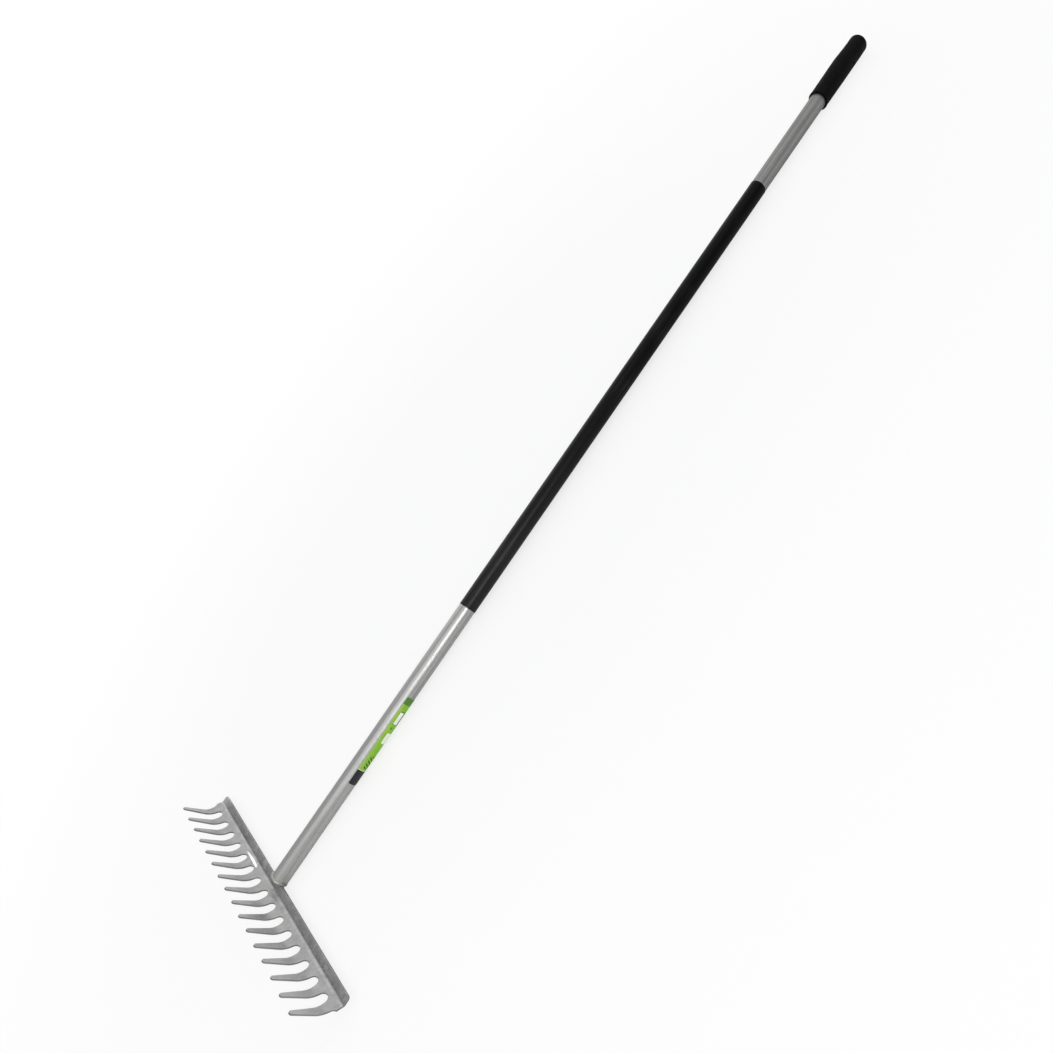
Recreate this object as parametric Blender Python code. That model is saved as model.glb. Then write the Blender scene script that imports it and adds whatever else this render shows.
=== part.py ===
"""A garden rake: a pressed steel head with 16 tines, welded to a tubular handle.

The rake lies on its back, as it does on the ground: the handle runs along +X from the head to the grip,
the head's bar runs along Y and the tines point up, along +Z. All sizes are in metres.
"""
import math

import bmesh
import bpy
from mathutils import Vector

# The gap between two pieces that touch on the real rake
GAP = 0.0003

# Rows of points that lie nearer to each other than this are one row
SAME = 0.00001

# The handle tube, whose lower end is notched to sit astride the head's flange
TUBE_LENGTH = 1.532
TUBE_RADIUS = 0.0125
TUBE_WALL = 0.0010
SLOT_DEPTH = 0.0010

# The head's pressed sheet
SHEET = 0.0028
TINE_COUNT = 16
TINE_PITCH = 0.0290
END_MARGIN = 0.0117
FLANGE_HEIGHT = 0.0117
FLANGE_CORNER = 0.0022
PLATE_ANGLE = math.radians(42)
BEND_RADIUS = 0.0030
KNEE_DISTANCE = 0.0252
KNEE_RADIUS = 0.0240
TINE_ANGLE = math.radians(83)
TINE_LENGTH = 0.0682
ROOT_DISTANCE = 0.0096
ROOT_RADIUS = 0.0073
KNEE_HALF_WIDTH = 0.0061
TIP_HALF_WIDTH = 0.0030

# The weld bead round the tube's lower end, with its middle this far up the tube
BEAD_RADIUS = 0.0009
BEAD_RISE = 0.0014

# The sleeve over the middle of the handle, from the tube's lower end to the bare stretch under the grip
SLEEVE_START = 0.4680
BARE_TOP = 0.1703
SLEEVE_WALL = 0.0003

# The label on the lower part of the handle
LABEL_START = 0.1702
LABEL_LENGTH = 0.1460
LABEL_THICKNESS = 0.0002
LABEL_TOP_ANGLE = math.radians(149)
LABEL_ARC = math.radians(150)

# The end grip: walls over the tube, and places measured from the mouth
GRIP_LENGTH = 0.1190
GRIP_CAP = 0.0050
LIP_WALL = 0.0028
LIP_WIDTH = 0.0026
LIP_EASE = 0.0006
MOUTH_WALL = 0.0022
BELLY_WALL = 0.0029
BELLY_PLACE = 0.0640
NECK_WALL = 0.0016
NECK_PLACE = 0.1030
DOME_HEIGHT = 0.0052
DOME_POWER = 2.4
DOME_FLAT = 0.0030

# How finely round forms are divided
TUBE_SIDES = 40
BEAD_SIDES = 10
CORNER_STEPS = 3
BEND_STEPS = 3
ROOT_STEPS = 5
KNEE_STEPS = 6
TIP_STEPS = 4
GRIP_STEPS = 6
DOME_STEPS = 6

# Places worked out from the sizes above, measured along the handle from the head's bend line
TUBE_START = FLANGE_HEIGHT - SLOT_DEPTH
TUBE_END = TUBE_START + TUBE_LENGTH
GRIP_END = TUBE_END + GAP + GRIP_CAP
GRIP_START = GRIP_END - GRIP_LENGTH
FLANGE_FRONT = 0.0
FLANGE_BACK = FLANGE_FRONT - SHEET

# What slips over the tube clears it by the gap
OVER_TUBE = TUBE_RADIUS + GAP

# Places along the head's section, measured on the sheet's middle from the flange's free edge
BEND_TANGENT = BEND_RADIUS * math.tan(PLATE_ANGLE / 2)
KNEE_TURN = TINE_ANGLE - PLATE_ANGLE
BEND_START = FLANGE_HEIGHT - BEND_TANGENT
BEND_END = BEND_START + BEND_RADIUS * PLATE_ANGLE
KNEE_START = BEND_END + KNEE_DISTANCE - BEND_TANGENT - KNEE_RADIUS * math.tan(KNEE_TURN / 2)
KNEE_END = KNEE_START + KNEE_RADIUS * KNEE_TURN
ROOT = FLANGE_HEIGHT + ROOT_DISTANCE
ROOT_ARC_END = ROOT + ROOT_RADIUS
WIDTH_KNEE = FLANGE_HEIGHT + KNEE_DISTANCE
TIP = FLANGE_HEIGHT + TINE_LENGTH
TAPER_END = TIP - TIP_HALF_WIDTH


def clear_scene():
    """Remove every object that the opened file holds."""
    for thing in list(bpy.data.objects):
        bpy.data.objects.remove(thing, do_unlink=True)


def make_material(name, colour, roughness, metallic):
    """A plain surface with the colour and gloss of one kind of piece."""
    material = bpy.data.materials.new(name)
    material.use_nodes = True
    shader = material.node_tree.nodes["Principled BSDF"]
    shader.inputs["Base Color"].default_value = (*colour, 1.0)
    shader.inputs["Roughness"].default_value = roughness
    shader.inputs["Metallic"].default_value = metallic
    return material


def add_object(name, shape, material, parent):
    """Turn a bmesh into a named object that hangs on the rake's own frame."""
    mesh = bpy.data.meshes.new(name)
    shape.to_mesh(mesh)
    shape.free()
    mesh.materials.append(material)
    mesh.shade_smooth()
    mesh.set_sharp_from_angle(angle=math.radians(35))
    thing = bpy.data.objects.new(name, mesh)
    bpy.context.scene.collection.objects.link(thing)
    thing.parent = parent
    return thing


def loft(loops, closed):
    """Join closed loops of points into a solid, in a ring or with a flat cap at each end."""
    shape = bmesh.new()
    rings = [[shape.verts.new(point) for point in loop] for loop in loops]
    pairs = list(zip(rings[:-1], rings[1:]))
    if closed:
        pairs.append((rings[-1], rings[0]))
    for first, second in pairs:
        for index in range(len(first)):
            after = (index + 1) % len(first)
            shape.faces.new((first[index], first[after], second[after], second[index]))
    if not closed:
        shape.faces.new(rings[0])
        shape.faces.new(rings[-1])
    bmesh.ops.recalc_face_normals(shape, faces=shape.faces)
    return shape


def around(x, radius, angle):
    """A point at a distance from the handle's axis; angle 0 is +Y and a quarter turn is +Z."""
    return Vector((x, radius * math.cos(angle), radius * math.sin(angle)))


def ring_solid(outline):
    """Turn a closed outline of (x, radius) pairs about the handle's axis."""
    loops = []
    for step in range(TUBE_SIDES):
        angle = math.tau * step / TUBE_SIDES
        loops.append([around(x, radius, angle) for x, radius in outline])
    return loft(loops, closed=True)


def section_at(distance):
    """Where the sheet's middle lies at a distance along its section from the flange's free edge.

    Returns x, z and the angle that the sheet has turned from the flange towards the tines.
    """
    stretches = [(BEND_START, 0.0), (BEND_END, PLATE_ANGLE), (KNEE_START, 0.0), (KNEE_END, KNEE_TURN), (TIP, 0.0)]
    x = FLANGE_HEIGHT
    z = (FLANGE_FRONT + FLANGE_BACK) / 2
    angle = 0.0
    start = 0.0
    for end, turn in stretches:
        step = min(distance, end) - start
        if turn:
            radius = (end - start) / turn
            after = angle + step / radius
            x -= radius * (math.sin(after) - math.sin(angle))
            z += radius * (math.cos(angle) - math.cos(after))
            angle = after
        else:
            x -= step * math.cos(angle)
            z += step * math.sin(angle)
        if distance <= end:
            break
        start = end
    return x, z, angle


def bend_sheet(point):
    """Move a point of the flat blank, which runs along -X, to its place on the bent sheet."""
    x, z, angle = section_at(-point.x)
    return Vector((x + point.z * math.sin(angle), point.y, z + point.z * math.cos(angle)))


def half_width(distance):
    """Half of a tine's width at a distance along the section from the flange's free edge."""
    neck = TINE_PITCH / 2 - ROOT_RADIUS
    if distance <= ROOT:
        return TINE_PITCH / 2
    if distance < ROOT_ARC_END:
        return TINE_PITCH / 2 - math.sqrt(ROOT_RADIUS ** 2 - (ROOT_ARC_END - distance) ** 2)
    if distance < WIDTH_KNEE:
        return neck + (KNEE_HALF_WIDTH - neck) * (distance - ROOT_ARC_END) / (WIDTH_KNEE - ROOT_ARC_END)
    if distance < TAPER_END:
        share = (distance - WIDTH_KNEE) / (TAPER_END - WIDTH_KNEE)
        return KNEE_HALF_WIDTH + (TIP_HALF_WIDTH - KNEE_HALF_WIDTH) * share
    return math.sqrt(max(0.0, TIP_HALF_WIDTH ** 2 - (distance - TAPER_END) ** 2))


def outer_half_width(distance):
    """As half_width, on the outer side of an end tine, where the bar's end cuts it off."""
    corner = max(0.0, FLANGE_CORNER - distance)
    rounding = FLANGE_CORNER - math.sqrt(FLANGE_CORNER ** 2 - corner ** 2)
    return min(half_width(distance), END_MARGIN - rounding)


def quarter(steps):
    """The angles from 0 to a quarter turn, in even steps."""
    return [math.pi / 2 * step / steps for step in range(steps + 1)]


def even(start, end, steps):
    """Evenly spaced places from one to another, both included."""
    return [start + (end - start) * step / steps for step in range(steps + 1)]


def blank_rows():
    """The distances along the section at which the blank has a row of points."""
    side_cut = ROOT_ARC_END - math.sqrt(ROOT_RADIUS ** 2 - (TINE_PITCH / 2 - END_MARGIN) ** 2)
    rows = [side_cut, (KNEE_END + TIP) / 2]
    rows += even(BEND_START, BEND_END, BEND_STEPS)
    rows += even(KNEE_START, KNEE_END, KNEE_STEPS)
    rows += [FLANGE_CORNER * (1 - math.cos(angle)) for angle in quarter(CORNER_STEPS)]
    rows += [ROOT_ARC_END - ROOT_RADIUS * math.cos(angle) for angle in quarter(ROOT_STEPS)]
    rows += [TIP - TIP_HALF_WIDTH * (1 - math.sin(angle)) for angle in quarter(TIP_STEPS)]
    rows.sort()
    spread = [rows[0]]
    for row in rows[1:]:
        if row - spread[-1] > SAME:
            spread.append(row)
    return spread


def make_head(material, parent):
    """The pressed head: a flat comb-shaped blank, thickened and then bent along its section."""
    shape = bmesh.new()
    rows = blank_rows()
    for tine in range(TINE_COUNT):
        centre = (tine - (TINE_COUNT - 1) / 2) * TINE_PITCH
        low_edge = outer_half_width if tine == 0 else half_width
        high_edge = outer_half_width if tine == TINE_COUNT - 1 else half_width
        sides = []
        for row in rows:
            low = shape.verts.new((-row, centre - low_edge(row), -SHEET / 2))
            high = shape.verts.new((-row, centre + high_edge(row), -SHEET / 2))
            sides.append((low, high))
        for (low, high), (next_low, next_high) in zip(sides[:-1], sides[1:]):
            shape.faces.new((low, high, next_high, next_low))
    bmesh.ops.remove_doubles(shape, verts=shape.verts, dist=SAME / 2)
    grown = bmesh.ops.extrude_face_region(shape, geom=shape.faces[:])
    top = [item for item in grown["geom"] if isinstance(item, bmesh.types.BMVert)]
    bmesh.ops.translate(shape, verts=top, vec=(0, 0, SHEET))
    bmesh.ops.recalc_face_normals(shape, faces=shape.faces)
    for vert in shape.verts:
        vert.co = bend_sheet(vert.co)
    return add_object("rake_head", shape, material, parent)


def make_slot_cutter(material, parent):
    """The block that takes the flange's room out of the tube's lower end and out of the weld."""
    reach = 2 * TUBE_RADIUS
    low = Vector((TUBE_START - reach, -reach, FLANGE_BACK - GAP))
    high = Vector((FLANGE_HEIGHT + GAP, reach, FLANGE_FRONT + GAP))
    box = bmesh.new()
    bmesh.ops.create_cube(box, size=1.0)
    for vert in box.verts:
        vert.co = (low + high) / 2 + Vector(side * size for side, size in zip(vert.co, high - low))
    cutter = add_object("slot_cutter", box, material, parent)
    cutter.hide_render = True
    cutter.display_type = "WIRE"
    return cutter


def cut_slot(thing, cutter):
    """Cut the flange's slot out of a piece."""
    slot = thing.modifiers.new("slot", "BOOLEAN")
    slot.operation = "DIFFERENCE"
    slot.solver = "EXACT"
    slot.object = cutter


def make_tube(material, parent):
    """The handle tube, a plain round tube from end to end."""
    inner = TUBE_RADIUS - TUBE_WALL
    outline = [(TUBE_START, inner), (TUBE_START, TUBE_RADIUS), (TUBE_END, TUBE_RADIUS), (TUBE_END, inner)]
    return add_object("handle_tube", ring_solid(outline), material, parent)


def make_bead(material, parent):
    """The weld: a round bead that runs round the tube's end and laps over the flange's edge."""
    centre_x = TUBE_START + BEAD_RISE
    centre_radius = OVER_TUBE + BEAD_RADIUS
    outline = []
    for corner in range(BEAD_SIDES):
        turn = math.tau * corner / BEAD_SIDES
        outline.append((centre_x + BEAD_RADIUS * math.sin(turn), centre_radius + BEAD_RADIUS * math.cos(turn)))
    return add_object("weld_bead", ring_solid(outline), material, parent)


def make_sleeve(material, parent):
    """The thin sleeve over the middle of the handle, with eased outer edges."""
    start = TUBE_START + SLEEVE_START
    end = GRIP_START - BARE_TOP
    inner = OVER_TUBE
    outer = inner + SLEEVE_WALL
    ease = SLEEVE_WALL / 2
    outline = [
        (start, inner),
        (start, outer - ease),
        (start + ease, outer),
        (end - ease, outer),
        (end, outer - ease),
        (end, inner),
    ]
    return add_object("handle_sleeve", ring_solid(outline), material, parent)


def make_label(material, parent):
    """The sticker, which wraps part of the way round the tube."""
    start = TUBE_START + LABEL_START
    end = start + LABEL_LENGTH
    inner = OVER_TUBE
    outer = inner + LABEL_THICKNESS
    steps = round(TUBE_SIDES * LABEL_ARC / math.tau)
    loops = []
    for step in range(steps + 1):
        angle = LABEL_TOP_ANGLE + LABEL_ARC * step / steps
        corners = ((start, inner), (start, outer), (end, outer), (end, inner))
        loops.append([around(x, radius, angle) for x, radius in corners])
    return add_object("handle_label", loft(loops, closed=False), material, parent)


def ease_between(first, second, share):
    """A smooth passage from one value to another."""
    return first + (second - first) * (1 - math.cos(math.pi * share)) / 2


def grip_outline():
    """The grip's outer side as (x, radius) pairs, from the mouth to the flat spot on the dome."""
    lip = OVER_TUBE + LIP_WALL
    mouth = OVER_TUBE + MOUTH_WALL
    belly = OVER_TUBE + BELLY_WALL
    neck = OVER_TUBE + NECK_WALL
    points = [(0.0, lip - LIP_EASE), (LIP_EASE, lip), (LIP_WIDTH - LIP_EASE, lip), (LIP_WIDTH, mouth)]
    for step in range(1, GRIP_STEPS + 1):
        share = step / GRIP_STEPS
        x = LIP_WIDTH + (BELLY_PLACE - LIP_WIDTH) * share
        points.append((x, ease_between(mouth, belly, share)))
    for step in range(1, GRIP_STEPS + 1):
        share = step / GRIP_STEPS
        x = BELLY_PLACE + (NECK_PLACE - BELLY_PLACE) * share
        points.append((x, ease_between(belly, neck, share)))
    for angle in quarter(DOME_STEPS):
        share = math.sin(angle)
        swell = max(0.0, 1 - share ** DOME_POWER) ** (1 / DOME_POWER)
        points.append((GRIP_LENGTH - DOME_HEIGHT * (1 - share), DOME_FLAT + (neck - DOME_FLAT) * swell))
    return [(GRIP_START + x, radius) for x, radius in points]


def make_grip(material, parent):
    """The moulded grip: a blind bore over the tube's end inside a gently bellied body."""
    outline = [(GRIP_END - GRIP_CAP, OVER_TUBE), (GRIP_START, OVER_TUBE)] + grip_outline()
    loops = []
    for x, radius in outline:
        loops.append([around(x, radius, math.tau * step / TUBE_SIDES) for step in range(TUBE_SIDES)])
    return add_object("end_grip", loft(loops, closed=False), material, parent)


def rake_frame():
    """The empty that carries every piece: it sets the rake on the ground, centred on the origin."""
    tip_x, _, tip_angle = section_at(TIP)
    lowest_x = tip_x - SHEET / 2 * math.sin(tip_angle)
    underside = OVER_TUBE + max(BELLY_WALL, LIP_WALL, 2 * BEAD_RADIUS)
    frame = bpy.data.objects.new("rake_frame", None)
    frame.location = (-(lowest_x + GRIP_END) / 2, 0, underside)
    bpy.context.scene.collection.objects.link(frame)
    return frame


def main():
    clear_scene()
    frame = rake_frame()
    silver_paint = make_material("silver_paint", (0.38, 0.38, 0.37), 0.42, 0.75)
    silver_tube = make_material("silver_tube", (0.42, 0.42, 0.41), 0.30, 0.90)
    weld_metal = make_material("weld_metal", (0.40, 0.40, 0.37), 0.45, 0.80)
    black_sleeve = make_material("black_sleeve", (0.020, 0.020, 0.021), 0.50, 0.0)
    black_grip = make_material("black_grip", (0.010, 0.010, 0.010), 0.62, 0.0)
    label_green = make_material("label_green", (0.26, 0.50, 0.06), 0.35, 0.0)

    make_head(silver_paint, frame)
    cutter = make_slot_cutter(weld_metal, frame)
    cut_slot(make_tube(silver_tube, frame), cutter)
    cut_slot(make_bead(weld_metal, frame), cutter)
    make_sleeve(black_sleeve, frame)
    make_label(label_green, frame)
    make_grip(black_grip, frame)


main()
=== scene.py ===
"""The look of a garden rake: pressed silver head, plain tube, film sleeve, printed label and moulded grip.

The rake lies on its back on a pale floor. The handle runs along +X, the tines point up. Sizes are in metres.
"""

import random
from math import asin, cos, pi, radians, sin, sqrt, tan, tau

import bmesh
import bpy
from mathutils import Matrix, Vector


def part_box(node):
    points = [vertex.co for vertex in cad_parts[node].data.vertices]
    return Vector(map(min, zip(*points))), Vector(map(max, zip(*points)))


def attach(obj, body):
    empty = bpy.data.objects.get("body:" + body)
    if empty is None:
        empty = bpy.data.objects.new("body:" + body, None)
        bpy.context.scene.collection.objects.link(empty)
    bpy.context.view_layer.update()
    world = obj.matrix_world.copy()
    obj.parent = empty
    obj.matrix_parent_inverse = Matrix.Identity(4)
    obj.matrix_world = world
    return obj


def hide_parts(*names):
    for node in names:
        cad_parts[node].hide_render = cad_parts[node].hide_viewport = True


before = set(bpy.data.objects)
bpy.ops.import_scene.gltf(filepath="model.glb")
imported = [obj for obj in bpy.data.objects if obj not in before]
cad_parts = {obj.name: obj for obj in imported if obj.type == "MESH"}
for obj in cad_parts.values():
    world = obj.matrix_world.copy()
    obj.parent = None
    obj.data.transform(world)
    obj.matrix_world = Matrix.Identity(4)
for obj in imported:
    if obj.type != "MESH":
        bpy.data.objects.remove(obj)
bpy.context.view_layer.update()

# Where the rake lies: the line at which the head is bent, and the height of the handle's axis
FLANGE_HEIGHT = 0.0117
BEND_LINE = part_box("rake_head")[1].x - FLANGE_HEIGHT
AXIS_HEIGHT = (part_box("handle_tube")[0].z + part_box("handle_tube")[1].z) / 2

# The pressed sheet of the head, as it was cut and bent
SHEET = 0.0028
TINE_COUNT = 16
TINE_PITCH = 0.0290
END_MARGIN = 0.01169
FLANGE_CORNER = 0.0042
PLATE_ANGLE = radians(42)
BEND_RADIUS = 0.0030
KNEE_DISTANCE = 0.0252
KNEE_RADIUS = 0.0240
KNEE_TURN = radians(41)
TINE_LENGTH = 0.0682
ROOT_DISTANCE = 0.0096
ROOT_RADIUS = 0.0073
KNEE_HALF_WIDTH = 0.0061
TIP_HALF_WIDTH = 0.0030

# Places along the head's section, measured on the sheet from the flange's free edge
BEND_TANGENT = BEND_RADIUS * tan(PLATE_ANGLE / 2)
BEND_START = FLANGE_HEIGHT - BEND_TANGENT
BEND_END = BEND_START + BEND_RADIUS * PLATE_ANGLE
KNEE_START = BEND_END + KNEE_DISTANCE - BEND_TANGENT - KNEE_RADIUS * tan(KNEE_TURN / 2)
KNEE_END = KNEE_START + KNEE_RADIUS * KNEE_TURN
ROOT = FLANGE_HEIGHT + ROOT_DISTANCE
ROOT_ARC_END = ROOT + ROOT_RADIUS
WIDTH_KNEE = FLANGE_HEIGHT + KNEE_DISTANCE
TIP = FLANGE_HEIGHT + TINE_LENGTH
TAPER_END = TIP - TIP_HALF_WIDTH

# The cut edges of the sheet: rolled over at the front, nearly crisp at the back, inside a narrow border
EDGE_BAND = 0.0009
FRONT_EASE = 0.0006
BACK_EASE = 0.0003
INNER_CORNER = FLANGE_CORNER - EDGE_BAND

# How finely the sheet is divided: rows of points across the bar, and steps along its curves
FLANGE_ROWS = [0.0053, 0.0068, 0.0082, 0.0094]
PLATE_ROWS = [0.0140, 0.0155, 0.0170, 0.0188]
BEND_STEPS = 7
CORNER_STEPS = 4
ROOT_STEPS = 8
TIP_STEPS = 7
FRONT_STEPS = 4
BACK_STEPS = 3
COLUMNS = 14
SEAM_WIDTH = 0.000004

# How far the press and later handling left the head from true
SWAY = 0.0005
LEAN = 0.0006
BAR_WAVE = 0.00010

# The tube and what is round it, as radii from the handle's axis
TUBE_RADIUS = 0.0125
TUBE_WALL = 0.0010
TUBE_EASE = 0.00025
SLEEVE_RADIUS = 0.01305
SLEEVE_EASE = 0.0004
SLEEVE_WAVE = 0.00004
LABEL_RADIUS = 0.01272
UNDER_TUBE_SKIN = 0.01245
ROUND_SIDES = 96
TUBE_ROWS = 24
SLEEVE_ROWS = 150

# The notch in the tube's end: its room round the flange, and how far its cutter runs past the tube
NOTCH_ROOM = 0.0003
NOTCH_OVERRUN = 0.02

# The label's sheet, which starts on the near side above the middle and wraps downwards
LABEL_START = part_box("handle_label")[0].x
LABEL_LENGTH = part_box("handle_label")[1].x - LABEL_START
LABEL_TOP_ANGLE = radians(149)
LABEL_ARC = radians(150)
LABEL_CORNER = 0.0022
LABEL_ROWS = 30
LABEL_COLUMNS = 48

# The grip, with its places measured from the mouth; its neck is set over towards the near lower side
GRIP_LENGTH = 0.11899
LIP_RADIUS = 0.01567
LIP_WIDTH = 0.0026
LIP_EASE = 0.0006
MOUTH_RADIUS = 0.0154
BELLY_RADIUS = 0.0157
BELLY_PLACE = 0.0640
NECK_RADIUS = 0.0148
NECK_PLACE = 0.1030
NECK_SET = (0.0, -0.00050, -0.00062)
DOME_HEIGHT = 0.0052
DOME_POWER = 2.4
DOME_FLAT = 0.0030
GRIP_BORE = 0.1140
STUD_RISE = 0.00022
STUD_RADIUS = 0.00085
STUD_PITCH = 0.0027
STUD_ROW_PITCH = STUD_PITCH * 0.87
STUDS_FROM = 0.0085
STUDS_TO = 0.1010
GRIP_ROWS = 60
DOME_STEPS = 14

# The bump's depth, the floor's own white near the rake, and the room's level
SKIN_DEPTH = 0.0002
FLOOR_GLOW = 0.7
ROOM_LEVEL = 0.42

random.seed(41)


# Small helpers for meshes

def quarter(steps):
    """The angles from 0 to a quarter turn, in even steps."""
    return [pi / 2 * step / steps for step in range(steps + 1)]


def even(start, end, steps):
    """Evenly spaced places from one to another, both included."""
    return [start + (end - start) * step / steps for step in range(steps + 1)]


def around(x, radius, angle):
    """A point at a distance from the handle's axis; angle 0 is +Y and a quarter turn is +Z."""
    return Vector((x, radius * cos(angle), AXIS_HEIGHT + radius * sin(angle)))


def shoulder(x, radius, ease, steps, way):
    """A turned piece's edge, rounded from its skin to its face at x, which looks along +X (1) or -X (-1)."""
    return [(x - way * ease * (1 - sin(turn)), radius - ease * (1 - cos(turn))) for turn in quarter(steps)]


def fill(shape, rows):
    """Faces between each row of points and the next."""
    for first, second in zip(rows[:-1], rows[1:]):
        for index in range(len(first) - 1):
            shape.faces.new((first[index], first[index + 1], second[index + 1], second[index]))


def turned(outline, closed):
    """A solid turned about the handle's axis from (x, radius) pairs, as a closed ring or with flat ends."""
    shape = bmesh.new()
    angles = [tau * step / ROUND_SIDES for step in range(ROUND_SIDES)]
    rings = [[shape.verts.new(around(x, radius, angle)) for angle in angles] for x, radius in outline]
    loops = [ring + ring[:1] for ring in rings]
    fill(shape, loops + loops[:1] if closed else loops)
    if not closed:
        shape.faces.new(rings[0])
        shape.faces.new(rings[-1])
    bmesh.ops.recalc_face_normals(shape, faces=shape.faces)
    return shape


def added(name, data):
    """A new object in the scene."""
    thing = bpy.data.objects.new(name, data)
    bpy.context.scene.collection.objects.link(thing)
    return thing


def add_piece(name, shape, sharp=40):
    """Turn a bmesh into a named, smoothly shaded object in the rake's own frame."""
    mesh = bpy.data.meshes.new(name)
    shape.to_mesh(mesh)
    shape.free()
    mesh.shade_smooth()
    mesh.set_sharp_from_angle(angle=radians(sharp))
    return added(name, mesh)


def dress(thing, finish):
    """Give a piece its one finish."""
    thing.data.materials.clear()
    thing.data.materials.append(finish)
    return thing


def settle(thing):
    """Turn what a piece's modifiers make into its own plain mesh."""
    bpy.context.view_layer.update()
    seen = thing.evaluated_get(bpy.context.evaluated_depsgraph_get())
    mesh = bpy.data.meshes.new_from_object(seen)
    thing.modifiers.clear()
    old = thing.data
    thing.data = mesh
    mesh.name = thing.name
    bpy.data.meshes.remove(old)
    return thing


# Small helpers for node trees

def spaced(values):
    """Socket names as Blender writes them, with spaces in place of underscores."""
    return {name.replace("_", " "): value for name, value in values.items()}


class Recipe:
    """A node tree, with short ways to add nodes to it."""

    def __init__(self, tree):
        self.tree = tree

    def feed(self, node, inputs):
        """Feed a node's sockets with values or with other sockets."""
        for name, value in inputs.items():
            if isinstance(value, bpy.types.NodeSocket):
                self.tree.links.new(value, node.inputs[name])
            else:
                node.inputs[name].default_value = value

    def node(self, kind, inputs=None, **settings):
        """The outputs of a new node, with its settings made and its sockets fed."""
        made = self.tree.nodes.new(kind)
        for name, value in settings.items():
            setattr(made, name, value)
        self.feed(made, inputs or {})
        return made.outputs

    def use(self, group, **inputs):
        """The outputs of a shared effect placed in this tree."""
        return self.node("ShaderNodeGroup", spaced(inputs), node_tree=group)

    def maths(self, operation, first, second=0.0, third=0.0, clamp=False):
        """The result of one sum on up to three numbers."""
        values = {0: first, 1: second, 2: third}
        return self.node("ShaderNodeMath", values, operation=operation, use_clamp=clamp)[0]

    def times(self, first, second):
        """One number times another."""
        return self.maths("MULTIPLY", first, second)

    def less(self, first, second):
        """One number less another."""
        return self.maths("SUBTRACT", first, second)

    def scaled(self, value, factor, added, clamp=False):
        """A number times a factor, with another added."""
        return self.maths("MULTIPLY_ADD", value, factor, added, clamp)

    def centred(self, value):
        """A value from 0 to 1 moved to lie about 0."""
        return self.less(value, 0.5)

    def stretch(self, value, low, high, to_low=0.0, to_high=1.0):
        """A value taken smoothly from one range to another and held inside it."""
        inputs = {"Value": value, "From Min": low, "From Max": high, "To Min": to_low, "To Max": to_high}
        return self.node("ShaderNodeMapRange", inputs, interpolation_type="SMOOTHSTEP")["Result"]

    def combined(self, x=0.0, y=0.0, z=0.0):
        """A vector from its three parts."""
        return self.node("ShaderNodeCombineXYZ", {0: x, 1: y, 2: z})[0]

    def split(self, vector):
        """The three parts of a vector."""
        return self.node("ShaderNodeSeparateXYZ", {0: vector})

    def vectors(self, operation, first, second=(0.0, 0.0, 0.0)):
        """The outputs of one sum on two vectors."""
        return self.node("ShaderNodeVectorMath", {0: first, 1: second}, operation=operation)

    def near(self, place, point, reach):
        """One at a point, falling to nothing at its reach, which may differ along the axes."""
        shifted = self.vectors("SUBTRACT", place, point)[0]
        shares = tuple(1 / size for size in reach)
        away = self.vectors("LENGTH", self.vectors("MULTIPLY", shifted, shares)[0])["Value"]
        return self.stretch(away, 1.0, 0.0)

    def noise(self, place, scale, detail=3.0, roughness=0.55, warp=0.0):
        """Cloudy noise, about a half on average."""
        fed = {"Vector": place, "Scale": scale, "Detail": detail, "Roughness": roughness, "Distortion": warp}
        return self.node("ShaderNodeTexNoise", fed)["Fac"]

    def mixed(self, share, first, second):
        """A colour between two others, each a socket or red, green and blue."""
        first, second = [(*tone, 1) if isinstance(tone, tuple) else tone for tone in (first, second)]
        return self.node("ShaderNodeMix", {0: share, 6: first, 7: second}, data_type="RGBA")[2]


class Group(Recipe):
    """A node group with named sockets: a shared effect that gives numbers, or a shape if none is named."""

    def __init__(self, name, *numbers, **inputs):
        kind = "ShaderNodeTree" if numbers else "GeometryNodeTree"
        super().__init__(bpy.data.node_groups.new(name, kind))
        outputs = dict.fromkeys(numbers, "Float") or {"Geometry": "Geometry"}
        for way, sockets in (("INPUT", spaced(inputs)), ("OUTPUT", outputs)):
            for label, socket_kind in sockets.items():
                self.tree.interface.new_socket(name=label, in_out=way, socket_type="NodeSocket" + socket_kind)
        self.given = self.node("NodeGroupInput")

    def step(self, kind, **inputs):
        """The first output of a new geometry node, with its named sockets fed."""
        return self.node("GeometryNode" + kind, spaced(inputs))[0]

    def leave(self, **results):
        """Link the results to the group's outputs and hand the group over."""
        self.node("NodeGroupOutput", spaced(results))
        return self.tree

    def leave_dressed(self, shape):
        """Hand over a geometry tree whose shape has the given finish."""
        return self.leave(Geometry=self.step("SetMaterial", Geometry=shape, Material=self.given["Finish"]))


def run_tree(thing, tree, **values):
    """Give a piece a geometry tree with its named inputs, and turn the result into a plain mesh."""
    modifier = thing.modifiers.new(tree.name, "NODES")
    modifier.node_group = tree
    sockets = {item.name: item.identifier for item in tree.interface.items_tree if item.in_out == "INPUT"}
    for name, value in spaced(values).items():
        modifier[sockets[name]] = value
    return settle(thing)


# Shared surface effects

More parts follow.
